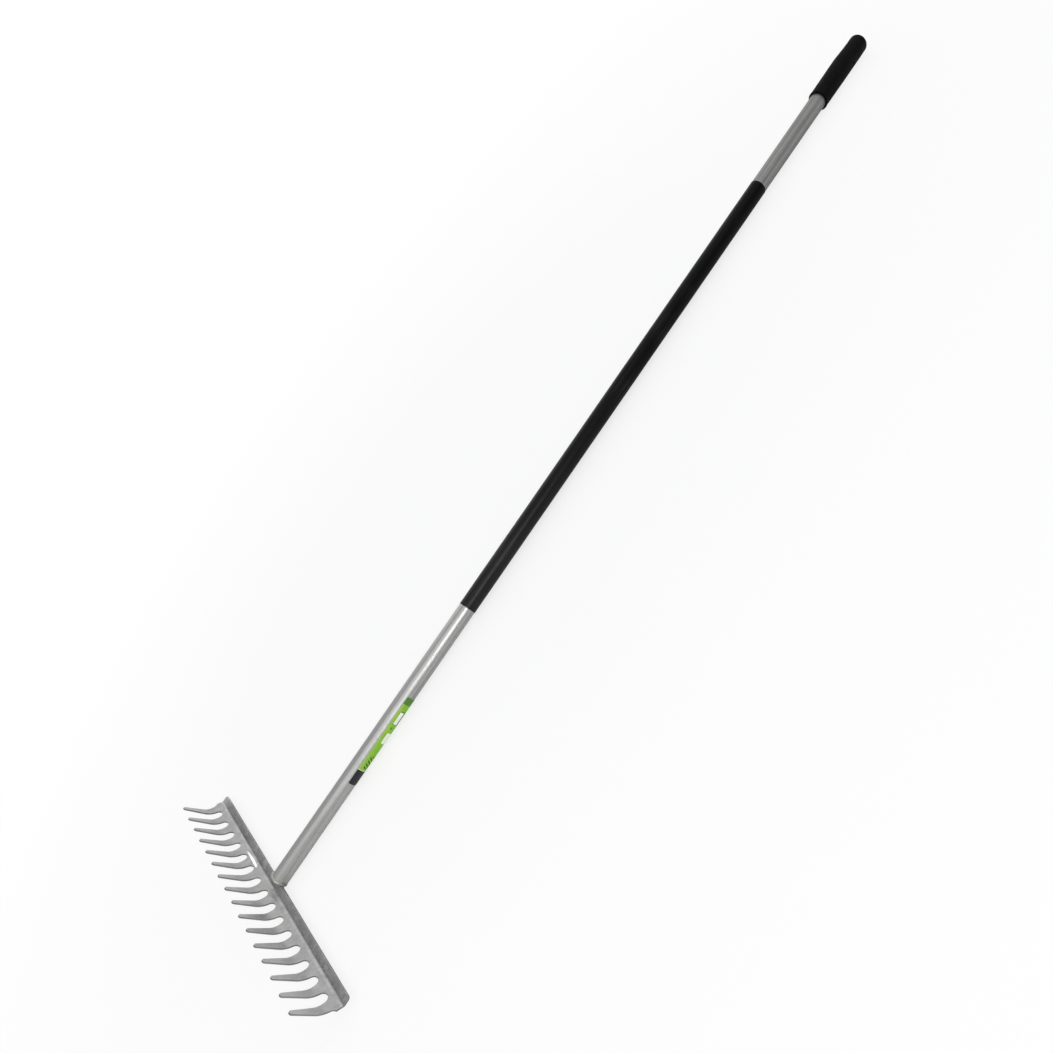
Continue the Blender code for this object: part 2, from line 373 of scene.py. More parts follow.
def make_mottle_group():
    """Uneven zinc and paint: soft clouds crossed with faint patches like frost on glass."""
    group = Group("mottled metal", "Shade", Vector="Vector", Size="Float", Contrast="Float")
    place = group.given["Vector"]
    scale = group.maths("DIVIDE", 1.0, group.given["Size"])
    clouds = group.noise(place, scale, detail=4.0, roughness=0.62, warp=0.6)
    fine = group.noise(place, group.times(scale, 5.0), detail=2.0)
    cells = group.node("ShaderNodeTexVoronoi", {"Vector": place, "Scale": scale})
    frost = group.node("ShaderNodeSeparateColor", {0: cells["Color"]})[0]
    shade = group.scaled(clouds, 1.5, -0.45)
    shade = group.scaled(frost, 0.22, shade)
    shade = group.scaled(group.centred(fine), 0.5, shade)
    return group.leave(Shade=group.scaled(group.centred(shade), group.given["Contrast"], 0.5, clamp=True))


def make_grain_group():
    """The fine skin of a coat or a moulding: a height for bump and a shade for the gloss."""
    group = Group("fine grain", "Height", "Shade", Vector="Vector", Size="Float")
    place = group.given["Vector"]
    scale = group.maths("DIVIDE", 1.0, group.given["Size"])
    coarse = group.noise(place, scale, detail=2.0)
    fine = group.noise(place, group.times(scale, 3.7), detail=2.0)
    height = group.scaled(fine, 0.4, group.times(coarse, 0.6))
    return group.leave(Height=height, Shade=group.noise(place, group.times(scale, 0.06), detail=4.0))


def make_rub_group():
    """Edges rubbed bright in use: a rim mask broken up by noise."""
    group = Group("rubbed edges", "Mask", Vector="Vector", Rim="Float", Reach="Float")
    patchy = group.noise(group.given["Vector"], 260.0, detail=4.0, roughness=0.65)
    broken = group.times(group.given["Rim"], group.stretch(patchy, 0.30, 0.72))
    return group.leave(Mask=group.maths("MULTIPLY", broken, group.given["Reach"], clamp=True))


def make_scuff_group():
    """Fine lines drawn out along a piece: a mask of the scratches and a shade for the streaks."""
    group = Group("long scuffs", "Mask", "Shade", Vector="Vector", Lines="Vector")
    drawn = group.vectors("MULTIPLY", group.given["Vector"], group.given["Lines"])[0]
    lines = group.noise(drawn, 1.0, roughness=0.6)
    return group.leave(Mask=group.stretch(lines, 0.42, 0.72), Shade=lines)


def make_patch_group():
    """A printed patch with rounded corners, on a sheet measured in millimetres."""
    group = Group(
        "printed patch", "Mask", Sheet="Vector", Middle="Vector", Half_Size="Vector", Corner="Float",
    )
    given = group.given
    core = group.vectors("SUBTRACT", given["Half Size"], group.combined(given["Corner"], given["Corner"]))[0]
    away = group.vectors("ABSOLUTE", group.vectors("SUBTRACT", given["Sheet"], given["Middle"])[0])[0]
    past = group.vectors("MULTIPLY", group.vectors("SUBTRACT", away, core)[0], (1.0, 1.0, 0.0))[0]
    outside = group.vectors("LENGTH", group.vectors("MAXIMUM", past)[0])["Value"]
    return group.leave(Mask=group.stretch(group.less(outside, given["Corner"]), 0.08, -0.08))


MOTTLE = make_mottle_group()
GRAIN = make_grain_group()
RUB = make_rub_group()
SCUFF = make_scuff_group()
PATCH = make_patch_group()


# Finishes

class Coat(Recipe):
    """A finish in the making: its material, shader, coordinates and colour so far."""

    def __init__(self, name, roughness, metallic=0.0, **fixed):
        self.finish = bpy.data.materials.new(name)
        self.finish.use_nodes = True
        super().__init__(self.finish.node_tree)
        self.shader = self.tree.nodes["Principled BSDF"]
        self.feed(self.shader, {"Roughness": roughness, "Metallic": metallic, **spaced(fixed)})
        self.place = self.node("ShaderNodeTexCoord")["Object"]

    def lay(self, shade, dark, light):
        """Start the colour, between a dark tone and a light one."""
        self.colour = self.mixed(shade, dark, light)

    def tint(self, mask, share, tone):
        """Lay a tone over the colour so far through a mask, at a share of full strength."""
        self.colour = self.mixed(mask if share == 1 else self.times(mask, share), self.colour, tone)

    def patches(self, scale, low, high, detail=3.0):
        """Noise cut down to patches: nothing under the low level, one over the high."""
        return self.stretch(self.noise(self.place, scale, detail), low, high)

    def spot(self, point, reach):
        """A soft spot on the piece, its point measured from the middle of the head's bend."""
        x, y, z = point
        return self.near(self.place, (BEND_LINE + x, y, AXIS_HEIGHT + z), reach)

    def dry(self, gloss, skin, relief, **more):
        """Feed the shader with colour, gloss and relief, and hand the finish over."""
        normal = self.node("ShaderNodeBump", {"Height": skin, "Strength": relief, "Distance": SKIN_DEPTH})[0]
        inputs = {"Base Color": self.colour, "Roughness": gloss, "Normal": normal, **spaced(more)}
        self.feed(self.shader, inputs)
        return self.finish


def make_head_paint():
    """Silver paint over pressed steel: cloudy, rubbed at the edges, scorched a little round the weld, with
    painted shade and painted highlights.
    """
    coat = Coat("silver head paint", 0.42, 0.82)
    place = coat.place
    along, across, _ = coat.split(place)
    on_flange = coat.stretch(along, BEND_LINE - 0.0015, BEND_LINE + 0.0015)
    contrast = coat.scaled(on_flange, 2.1, 0.55)
    size = coat.scaled(on_flange, 0.004, 0.009)
    shade = coat.use(MOTTLE, Vector=place, Size=size, Contrast=contrast)["Shade"]
    down_tines = coat.use(SCUFF, Vector=place, Lines=(34.0, 430.0, 34.0))["Shade"]
    down_flange = coat.use(SCUFF, Vector=place, Lines=(900.0, 70.0, 900.0))["Shade"]
    streaks = coat.node("ShaderNodeMix", {0: on_flange, 2: down_tines, 3: down_flange})[0]
    shade = coat.scaled(coat.centred(streaks), 0.85, shade, clamp=True)
    specks = coat.centred(coat.noise(place, 260.0, detail=2.0))
    shade = coat.scaled(coat.times(specks, on_flange), 2.6, shade, clamp=True)
    coat.lay(shade, (0.245, 0.245, 0.240), (0.515, 0.515, 0.503))

    outwards = coat.stretch(along, BEND_LINE, BEND_LINE + FLANGE_HEIGHT)
    coat.tint(outwards, 0.19, (0.80, 0.80, 0.78))
    # Painted shade: the flange darker in the crease of the bend
    painted_bend_shade = coat.spot((0.0020, 0.0, 0.0), (0.0030, 9.0, 0.01))
    coat.tint(painted_bend_shade, 0.42, (0.20, 0.20, 0.195))
    coat.tint(coat.patches(55.0, 0.40, 0.60, detail=2.0), 0.5, (0.395, 0.385, 0.40))
    # Painted highlight: a pale broken strip on the plate just past the bend
    painted_bend_highlight = coat.spot((-0.0012, 0.0, 0.0), (0.0022, 9.0, 0.01))
    coat.tint(coat.times(painted_bend_highlight, coat.patches(120.0, 0.35, 0.60)), 0.45, (0.62, 0.62, 0.60))
    coat.tint(coat.patches(46.0, 0.56, 0.74), 0.35, (0.27, 0.265, 0.255))
    scorch = coat.spot((0.004, -0.003, 0.0), (0.016, 0.030, 0.016))
    coat.tint(coat.times(scorch, coat.patches(330.0, 0.30, 0.70)), 0.55, (0.22, 0.21, 0.19))
    # Painted shade: a dark soft patch on the plate beside the bend, on the near side of the joint, as from a
    # shallow dent
    painted_dent_shade = coat.spot((-0.0043, -0.017, 0.003), (0.0030, 0.015, 0.006))
    coat.tint(painted_dent_shade, 0.55, (0.18, 0.18, 0.175))
    # The tines paler than the bar
    paler_tines = coat.stretch(along, BEND_LINE - 0.0125, BEND_LINE - 0.0225)
    coat.tint(paler_tines, 0.50, (0.72, 0.72, 0.705))
    # Painted shade on the sheet's cut edges, darkest on the edge faces
    cut = coat.node("ShaderNodeAttribute", attribute_name="cut")["Fac"]
    coat.tint(cut, 0.62, (0.11, 0.11, 0.107))
    rim = coat.node("ShaderNodeAttribute", attribute_name="rim")["Fac"]
    rubbed = coat.use(RUB, Vector=place, Rim=rim, Reach=0.35)["Mask"]
    coat.tint(rubbed, 1, (0.66, 0.65, 0.63))

    # A painted highlight: a bowed white crescent beside the bend on the far half, thicker at its far end
    beyond = coat.less(across, 0.0735)
    bowed = coat.scaled(coat.times(beyond, beyond), 1.2, along)
    inwards = coat.less(bowed, BEND_LINE - 0.0034)
    tapered = coat.times(inwards, coat.scaled(beyond, 19.0, 1.0))
    painted_crescent_highlight = coat.near(coat.combined(tapered, beyond), (0.0, 0.0, 0.0), (0.0023, 0.034, 1.0))
    ragged = coat.scaled(coat.noise(place, 900.0, detail=2.0), 0.36, coat.less(painted_crescent_highlight, 0.18))
    painted_crescent_highlight = coat.times(coat.stretch(ragged, 0.27, 0.46), coat.less(1.0, on_flange))
    coat.tint(painted_crescent_highlight, 1, (0.97, 0.97, 0.96))

    far_end = coat.times(coat.stretch(across, 0.198, 0.227), on_flange)
    coat.tint(far_end, 0.60, (0.85, 0.85, 0.83))
    grain = coat.use(GRAIN, Vector=place, Size=0.0011)
    gloss = coat.scaled(grain["Shade"], 0.12, coat.scaled(shade, -0.10, 0.40))
    gloss = coat.scaled(rubbed, -0.12, gloss)
    return coat.dry(gloss, grain["Height"], 0.16)


def make_tube_finish():
    """Satin zinc on a drawn tube, with painted shade darker towards the grip, a dark speckled patch and a
    heat mark at the weld, and painted highlights and shade along it.
    """
    coat = Coat("satin tube zinc", 0.38, 0.85)
    place = coat.place
    along, across, height = coat.split(place)
    shade = coat.use(MOTTLE, Vector=place, Size=0.020, Contrast=0.55)["Shade"]
    scuffs = coat.use(SCUFF, Vector=place, Lines=(7.0, 620.0, 620.0))["Mask"]
    # Painted shade: the tube's colour darker towards the grip
    lit_low_end = coat.mixed(shade, (0.400, 0.400, 0.390), (0.490, 0.490, 0.478))
    shaded_top_end = coat.mixed(shade, (0.205, 0.205, 0.198), (0.275, 0.275, 0.266))
    coat.lay(coat.stretch(along, -0.1, 0.55), lit_low_end, shaded_top_end)
    coat.tint(scuffs, 0.16, (0.72, 0.72, 0.71))
    # A dark speckled patch low on the near side by the weld
    dark_near_patch = coat.spot((FLANGE_HEIGHT, -0.011, -0.006), (0.009, 0.013, 0.016))
    coat.tint(coat.times(dark_near_patch, coat.patches(380.0, 0.42, 0.62)), 0.9, (0.10, 0.098, 0.09))
    heated = coat.spot((FLANGE_HEIGHT, 0.0, 0.0), (0.022, 0.03, 0.03))
    coat.tint(heated, 0.30, (0.42, 0.425, 0.37))

    # Painted highlight, painted shade and painted highlight again round the tube's near upper side, above the
    # weld
    coat.tint(coat.spot((0.040, -0.0104, 0.0069), (0.055, 0.0080, 0.0080)), 0.24, (0.75, 0.75, 0.72))
    coat.tint(coat.spot((0.030, -0.0082, 0.0095), (0.16, 0.0044, 0.0044)), 0.36, (0.24, 0.245, 0.225))
    coat.tint(coat.spot((0.030, -0.0040, 0.0118), (0.16, 0.0046, 0.0046)), 0.20, (0.80, 0.80, 0.78))

    # Painted light along the tube: a painted highlight on the far side, a painted dark reflection low on the
    # near side and a painted pale streak above it
    to_far_side = coat.scaled(across, 0.645, coat.times(coat.less(height, AXIS_HEIGHT), 0.764))
    painted_far_light = coat.times(coat.stretch(to_far_side, 0.005, 0.0105), coat.stretch(along, 0.35, -0.25))
    coat.tint(painted_far_light, 0.30, (0.80, 0.80, 0.78))
    # Painted dark reflection low on the near side
    line = coat.near(place, (0.0, -TUBE_RADIUS, AXIS_HEIGHT - 0.0008), (90.0, 0.0060, 0.0036))
    line = coat.times(coat.times(line, coat.stretch(along, -0.62, -0.50)), coat.stretch(along, 0.45, 0.30))
    coat.tint(line, 0.28, (0.08, 0.08, 0.08))
    painted_pale_streak = coat.near(place, (0.0, -TUBE_RADIUS, AXIS_HEIGHT + 0.0036), (90.0, 0.0060, 0.0042))
    coat.tint(coat.times(painted_pale_streak, coat.stretch(along, 0.45, 0.55)), 0.15, (0.80, 0.80, 0.78))

    speckle = coat.times(coat.centred(coat.noise(place, 900.0, detail=2.0)), 0.9)
    coat.tint(coat.maths("ABSOLUTE", speckle), 1, (0.18, 0.18, 0.175))
    grain = coat.use(GRAIN, Vector=place, Size=0.0014)
    gloss = coat.scaled(grain["Shade"], 0.14, coat.stretch(along, -0.1, 0.55, 0.29, 0.37))
    gloss = coat.scaled(scuffs, 0.05, gloss)
    return coat.dry(gloss, coat.scaled(scuffs, 0.35, grain["Height"]), 0.10)


def make_weld_finish():
    """Weld metal under a thin silver coat, with soot left in its ripples, dark specks on its near side and a
    painted glint.
    """
    coat = Coat("coated weld", 0.40, 0.80)
    place = coat.place
    clouds = coat.noise(place, 520.0)
    coat.lay(clouds, (0.38, 0.385, 0.35), (0.54, 0.545, 0.50))
    # Dark specks on the weld's near side, with soot in patches
    near_side = coat.spot((FLANGE_HEIGHT, -0.013, -0.004), (0.012, 0.014, 0.016))
    soot = coat.times(coat.patches(330.0, 0.62, 0.74, detail=2.0), 0.6)
    near_side_specks = coat.times(near_side, coat.patches(410.0, 0.40, 0.58, detail=2.0))
    coat.tint(coat.maths("MAXIMUM", soot, near_side_specks), 1, (0.055, 0.053, 0.048))
    # Painted highlight: a small bright glint on the near side of the weld
    painted_glint = coat.spot((FLANGE_HEIGHT + 0.0010, -0.0120, -0.0056), (0.0016, 0.0016, 0.0016))
    coat.tint(painted_glint, 1, (0.85, 0.85, 0.84))
    grain = coat.use(GRAIN, Vector=place, Size=0.0007)
    return coat.dry(coat.scaled(clouds, 0.22, 0.34), grain["Height"], 0.35)


def make_sleeve_film():
    """Black shrunk film: a close grain, faint long marks, and a shinier lower end with a painted highlight
    greying it.
    """
    coat = Coat("black sleeve film", 0.34)
    place = coat.place
    along = coat.split(place)[0]
    sheen = coat.stretch(along, -0.25, 0.20, 0.23, 0.07)
    shade = coat.noise(place, 38.0, detail=4.0)
    # Painted highlight: the film's colour greyer towards its lower end
    lit_low_end = coat.mixed(shade, (0.0050, 0.0050, 0.0052), (0.0080, 0.0080, 0.0083))
    shaded_top_end = coat.mixed(shade, (0.0014, 0.0014, 0.0015), (0.0026, 0.0026, 0.0027))
    coat.lay(coat.stretch(along, -0.28, 0.50), lit_low_end, shaded_top_end)
    scuffs = coat.use(SCUFF, Vector=place, Lines=(10.0, 480.0, 480.0))["Mask"]
    worn = coat.times(scuffs, coat.patches(14.0, 0.45, 0.70))
    coat.tint(worn, 0.22, (0.085, 0.085, 0.085))
    grain = coat.use(GRAIN, Vector=place, Size=0.0006)
    gloss = coat.scaled(grain["Shade"], 0.14, coat.stretch(along, -0.25, 0.05, 0.29, 0.25))
    gloss = coat.scaled(worn, 0.10, gloss)
    return coat.dry(gloss, grain["Height"], 0.22, Specular_IOR_Level=sheen)


def make_grip_plastic():
    """Black moulded plastic with a little pale dust."""
    coat = Coat("black grip plastic", 0.50, Specular_IOR_Level=0.07)
    place = coat.place
    coat.lay(coat.noise(place, 90.0, detail=4.0), (0.0010, 0.0010, 0.0011), (0.0022, 0.0022, 0.0023))
    coat.tint(coat.patches(420.0, 0.55, 0.78), 0.12, (0.060, 0.058, 0.054))
    grain = coat.use(GRAIN, Vector=place, Size=0.0007)
    return coat.dry(coat.scaled(grain["Shade"], 0.22, 0.44), grain["Height"], 0.30)


def make_label_print():
    """A plain print on film: black foot, green field, white panels and slanted bars."""
    coat = Coat("label print", 0.34)
    size = (LABEL_LENGTH * 1000, LABEL_RADIUS * LABEL_ARC * 1000, 0.0)
    sheet = coat.vectors("MULTIPLY", coat.node("ShaderNodeUVMap", uv_map="sheet")[0], size)[0]
    across, down, _ = coat.split(sheet)

    def patch(middle, half, corner):
        """A mask on the sheet, in millimetres from its lower end and its upper edge."""
        half = (*half, 0)
        return coat.use(PATCH, Sheet=sheet, Middle=(*middle, 0), Half_Size=half, Corner=corner)["Mask"]

    coat.lay(coat.noise(coat.place, 120.0), (0.175, 0.440, 0.010), (0.285, 0.585, 0.018))
    # Painted highlight: the print paler towards the label's upper edge
    coat.tint(coat.stretch(down, 6.0, 0.0), 0.30, (0.56, 0.54, 0.30))
    slant = coat.scaled(down, 0.6, across)
    bars = coat.stretch(coat.maths("PINGPONG", slant, 2.6), 1.25, 1.45)
    coat.tint(coat.times(bars, patch((38, 10.0), (10.5, 4.0), 1.2)), 1, (0.020, 0.080, 0.004))
    black = (0.008, 0.008, 0.011)
    white = (0.93, 0.95, 0.83)
    dark_green = (0.075, 0.205, 0.018)
    printed = [
        (black, (11.7, 17), (11.7, 30), 0.1),
        ((0.60, 0.72, 0.45), (24.0, 17), (0.55, 30), 0.1),
        (white, (79, 11.2), (9, 4.9), 2.0),
        (dark_green, (95.5, 7.0), (1.9, 1.9), 1.9),
        (black, (113.2, 10.2), (10.8, 5.2), 2.2),
        (white, (112.6, 8.7), (10.0, 3.6), 1.8),
        (dark_green, (141, 17), (6.5, 30), 0.1),
    ]
    for ink, middle, half, corner in printed:
        coat.tint(patch(middle, half, corner), 1, ink)
    grain = coat.use(GRAIN, Vector=coat.place, Size=0.0030)
    return coat.dry(coat.scaled(grain["Shade"], 0.16, 0.26), grain["Height"], 0.10)


# The head

def section_at(distance):
    """The sheet at a distance along its section: x from the bend line, z from the axis, and its angle."""
    stretches = [
        (BEND_START, 0.0), (BEND_END, PLATE_ANGLE), (KNEE_START, 0.0), (KNEE_END, KNEE_TURN), (TIP, 0.0),
    ]
    x = FLANGE_HEIGHT
    z = -SHEET / 2
    angle = 0.0
    start = 0.0
    for end, turn in stretches:
        step = min(distance, end) - start
        if turn:
            radius = (end - start) / turn
            after = angle + step / radius
            x -= radius * (sin(after) - sin(angle))
            z += radius * (cos(angle) - cos(after))
            angle = after
        else:
            x -= step * cos(angle)
            z += step * sin(angle)
        if distance <= end:
            break
        start = end
    return x, z, angle


def bar_rows():
    """The distances of the rows over the bar, from beside the free edge to short of the gaps."""
    rows = [FLANGE_CORNER - INNER_CORNER * cos(turn) for turn in quarter(CORNER_STEPS)]
    return rows + FLANGE_ROWS + even(BEND_START, BEND_END, BEND_STEPS) + PLATE_ROWS


def root_turns():
    """The angles at which a gap's round end has a point, one of them where the bar's end cuts it off."""
    cut = asin((TINE_PITCH / 2 - END_MARGIN) / ROOT_RADIUS)
    return [0.0, cut / 2, cut] + even(cut, pi / 2, ROOT_STEPS)[1:]


def tine_side():
    """One side of a tine from the gap's round end to the tip: points on its outline and the way out."""
    centre = Vector((ROOT_ARC_END, TINE_PITCH / 2))
    side = []
    for turn in root_turns():
        out = Vector((cos(turn), sin(turn)))
        side.append((centre - ROOT_RADIUS * out, out))
    neck = Vector((ROOT_ARC_END, TINE_PITCH / 2 - ROOT_RADIUS))
    knee = Vector((WIDTH_KNEE, KNEE_HALF_WIDTH))
    taper = Vector((TAPER_END, TIP_HALF_WIDTH))
    for start, end, steps in ((neck, knee, 6), (knee, taper, 16)):
        run = (end - start).normalized()
        out = Vector((-run.y, run.x))
        side += [(start.lerp(end, share), out) for share in even(0.0, 1.0, steps)[1:]]
    for turn in quarter(TIP_STEPS)[1:]:
        out = Vector((sin(turn), cos(turn)))
        side.append((Vector((TAPER_END, 0.0)) + TIP_HALF_WIDTH * out, out))
    return side


def border_stations(at_end):
    """One side of a strip: places just inside the cut edge, and the way out to it, or none at a seam."""
    stations = []
    sideways = Vector((0.0, 1.0))
    for index, row in enumerate(bar_rows()):
        if not at_end:
            stations.append((Vector((row, TINE_PITCH / 2)), None))
        elif index <= CORNER_STEPS:
            turn = quarter(CORNER_STEPS)[index]
            out = Vector((-cos(turn), sin(turn)))
            stations.append((Vector((FLANGE_CORNER, END_MARGIN - FLANGE_CORNER)) + INNER_CORNER * out, out))
        else:
            stations.append((Vector((row, END_MARGIN - EDGE_BAND)), sideways))
    for index, (point, out) in enumerate(tine_side()):
        inside = point - EDGE_BAND * out
        if at_end and index < 2:
            stations.append((Vector((inside.x, END_MARGIN - EDGE_BAND)), sideways))
        elif at_end and index == 2:
            mitre = (out + sideways) / (1.0 + out.y)
            stations.append((point - EDGE_BAND * mitre, mitre))
        else:
            stations.append((inside, out))
    return stations


def edge_profile():
    """The cut edge in section: how far in from the outline, how high, how rubbed, and how much painted shade
    it takes.
    """
    half = SHEET / 2
    profile = [(EDGE_BAND, half, 0.0, 0.0)]
    for turn in quarter(FRONT_STEPS):
        rubbed = cos(turn)
        height = half - FRONT_EASE * (1 - cos(turn))
        profile.append((FRONT_EASE * (1 - sin(turn)), height, rubbed, 1 - rubbed))
    for turn in reversed(quarter(BACK_STEPS)):
        rubbed = cos(turn)
        height = -half + BACK_EASE * (1 - cos(turn))
        profile.append((BACK_EASE * (1 - sin(turn)), height, rubbed, 1 - 0.5 * rubbed))
    profile.append((EDGE_BAND, -half, 0.0, 0.0))
    return profile


def add_band(shape, chain):
    """The cut edge along a chain of places just inside it."""
    rim = shape.verts.layers.float["rim"]
    # The cut layer holds how much painted shade each point of the edge takes
    cut = shape.verts.layers.float["cut"]
    strips = []
    for place, out in chain:
        strip = []
        for inwards, height, rubbed, painted_edge_shade in edge_profile():
            point = place + out * (EDGE_BAND - inwards)
            vert = shape.verts.new((-point.x, point.y, height))
            vert[rim] = rubbed
            vert[cut] = painted_edge_shade
            strip.append(vert)
        strips.append(strip)
    fill(shape, strips)


def add_strip(shape, centre, lit_low_end, high_end):
    """One tine of the flat blank with its share of the bar."""
    low = []
    for point, out in border_stations(lit_low_end):
        low.append((Vector((point.x, centre - point.y)), out and Vector((out.x, -out.y))))
    high = [(Vector((point.x, centre + point.y)), out) for point, out in border_stations(high_end)]
    shares = even(0.0, 1.0, COLUMNS)
    for height in (SHEET / 2, -SHEET / 2):
        rows = []
        for (start, _), (end, _) in zip(low, high):
            line = [start.lerp(end, share) for share in shares]
            rows.append([shape.verts.new((-point.x, point.y, height)) for point in line])
        fill(shape, rows)
    add_band(shape, [(low[0][0].lerp(high[0][0], share), Vector((-1.0, 0.0))) for share in shares])
    add_band(shape, [station for station in low + high[-2::-1] if station[1]])


def make_comb_tree():
    """Copies of a strip along the bar, joined into one sheet."""
    tree = Group(
        "tine comb", Strip="Geometry", Tines="Int", Pitch="Float", Seam_Width="Float", Finish="Material",
    )
    given = tree.given
    spans = tree.less(given["Tines"], 1.0)
    start = tree.combined(y=tree.times(tree.times(spans, given["Pitch"]), -0.5))
    places = {"Count": given["Tines"], "Start Location": start, "Offset": tree.combined(y=given["Pitch"])}
    line = tree.node("GeometryNodeMeshLine", places, mode="OFFSET")[0]
    copies = tree.step("InstanceOnPoints", Points=line, Instance=given["Strip"])
    joined = tree.step("RealizeInstances", Geometry=copies)
    return tree.leave_dressed(tree.step("MergeByDistance", Geometry=joined, Distance=given["Seam Width"]))


def bar_swell(distance, y):
    """How far the sheet stands proud of true, at places along its section and along the bar."""
    wave = BAR_WAVE * sin(y * 47.0 + 0.8) + 0.5 * BAR_WAVE * sin(y * 121.0 + 2.1)
    fade = max(0.0, 1.0 - max(0.0, distance - BEND_END) / (KNEE_START - BEND_END))
    return wave * fade


def bend_blank(shape):
    """Bend the flat blank along its section, with the small faults of a real pressing."""
    sways = [random.uniform(-1.0, 1.0) for _ in range(TINE_COUNT)]
    leans = [random.uniform(0.0, 1.0) for _ in range(TINE_COUNT)]
    for vert in shape.verts:
        distance, y, height = -vert.co.x, vert.co.y, vert.co.z
        tine = min(TINE_COUNT - 1, max(0, round(y / TINE_PITCH + (TINE_COUNT - 1) / 2)))
        share = max(0.0, (distance - ROOT) / (TIP - ROOT)) ** 2
        lean = LEAN * leans[tine] * share
        x, z, angle = section_at(distance)
        height += bar_swell(distance, y)
        vert.co = Vector((
            BEND_LINE + x + height * sin(angle) + lean,
            y + SWAY * sways[tine] * share,
            AXIS_HEIGHT + z + height * cos(angle) - 0.3 * lean,
        ))


def make_head(paint):
    """The pressed head: the like tines laid out by the comb tree, the two end tines, then the bends."""
    strip = bmesh.new()
    strip.verts.layers.float.new("rim")
    # The cut layer carries the share of painted shade on the cut edge
    strip.verts.layers.float.new("cut")
    add_strip(strip, 0.0, lit_low_end=False, high_end=False)
    bmesh.ops.remove_doubles(strip, verts=strip.verts, dist=SEAM_WIDTH / 2)
    comb = add_piece("pressed_head", strip)
    like_tines = TINE_COUNT - 2
    run_tree(comb, make_comb_tree(), Tines=like_tines, Pitch=TINE_PITCH, Seam_Width=SEAM_WIDTH, Finish=paint)

    shape = bmesh.new()
    shape.from_mesh(comb.data)
    outermost = (TINE_COUNT - 1) / 2 * TINE_PITCH
    add_strip(shape, -outermost, lit_low_end=True, high_end=False)
    add_strip(shape, outermost, lit_low_end=False, high_end=True)
    bmesh.ops.remove_doubles(shape, verts=shape.verts, dist=SEAM_WIDTH)
    bmesh.ops.recalc_face_normals(shape, faces=shape.faces)
    bend_blank(shape)
    bpy.data.objects.remove(comb)
    return dress(add_piece("pressed_head", shape, sharp=50), paint)


# The handle

def make_tube(finish):
    """The tube, notched at its lower end where it sits astride the flange."""
    start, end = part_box("handle_tube")[0].x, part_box("handle_tube")[1].x
    inner = TUBE_RADIUS - TUBE_WALL
    outline = [(start, inner), (start, TUBE_RADIUS - TUBE_EASE), (start + TUBE_EASE, TUBE_RADIUS)]
    outline += [(x, TUBE_RADIUS) for x in even(start + 0.01, end - 0.01, TUBE_ROWS)]
    outline += [(end - TUBE_EASE, TUBE_RADIUS), (end, TUBE_RADIUS - TUBE_EASE), (end, inner)]
    tube = add_piece("drawn_tube", turned(outline, closed=True))
    notch = bmesh.new()
    bmesh.ops.create_cube(notch, size=1.0)
    low = Vector((start - NOTCH_OVERRUN, -NOTCH_OVERRUN, AXIS_HEIGHT - SHEET - NOTCH_ROOM))
    high = Vector((BEND_LINE + FLANGE_HEIGHT + NOTCH_ROOM, NOTCH_OVERRUN, AXIS_HEIGHT + NOTCH_ROOM))
    for vert in notch.verts:
        vert.co = (low + high) / 2 + Vector(side * size for side, size in zip(vert.co, high - low))
    cutter = add_piece("notch_cutter", notch)
    cut = tube.modifiers.new("notch", "BOOLEAN")
    cut.operation = "DIFFERENCE"
    cut.solver = "EXACT"
    cut.object = cutter
    settle(tube)
    bpy.data.objects.remove(cutter)
    return dress(tube, finish)


def make_weld_tree():
    """A run of weld round the tube's end: overlapping ripples, fuller where it laps over the flange."""
    tree = Group(
        "weld run", Ring_Radius="Float", Bead_Radius="Float", Ripples="Int", Ripple_Depth="Float",
        Lap_Swell="Float", Lap_Way="Vector", Lap_Reach="Float", Far_Shrink="Float",
        Drawn_Out="Float", Unevenness="Float", Place="Vector", Finish="Material",
    )
    given = tree.given
    points = tree.times(given["Ripples"], 8.0)
    ring = tree.step("CurvePrimitiveCircle", Resolution=points, Radius=given["Ring Radius"])
    ring = tree.step("Transform", Geometry=ring, Rotation=(0.0, pi / 2, 0.0))
    saw = tree.maths("FRACT", tree.times(tree.step("SplineParameter"), given["Ripples"]))
    ripple = tree.times(saw, given["Ripple Depth"])
    spot = tree.step("InputPosition")
    sideways = tree.vectors("DOT_PRODUCT", spot, given["Lap Way"])["Value"]
    sideways = tree.maths("DIVIDE", sideways, given["Ring Radius"])
    lap = tree.maths("POWER", tree.maths("MAXIMUM", sideways, 0.0), 8.0)
    swell = tree.times(lap, given["Lap Swell"])
    shrink = tree.times(tree.maths("MINIMUM", sideways, 0.0), given["Far Shrink"])
    size = tree.maths("ADD", tree.less(1.0, ripple), tree.maths("ADD", swell, shrink))
    reach = tree.combined(x=tree.times(lap, given["Lap Reach"]))
    ring = tree.step("SetPosition", Geometry=ring, Offset=reach)
    section = tree.step("CurvePrimitiveCircle", Resolution=14, Radius=given["Bead Radius"])
    bead = tree.step("CurveToMesh", Curve=ring, Profile_Curve=section, Scale=size)
    rough = tree.node("ShaderNodeTexNoise", {"Vector": spot, "Scale": 260.0, "Detail": 2.0})["Color"]
    centred = tree.vectors("SUBTRACT", rough, (0.5, 0.5, 0.5))[0]
    push = tree.node("ShaderNodeVectorMath", {0: centred, "Scale": given["Unevenness"]}, operation="SCALE")[0]
    bead = tree.step("SetPosition", Geometry=bead, Offset=push)
    drawn = tree.combined(given["Drawn Out"], 1.0, 1.0)
    bead = tree.step("Transform", Geometry=bead, Translation=given["Place"], Scale=drawn)
    return tree.leave_dressed(tree.step("RealizeInstances", Geometry=bead))


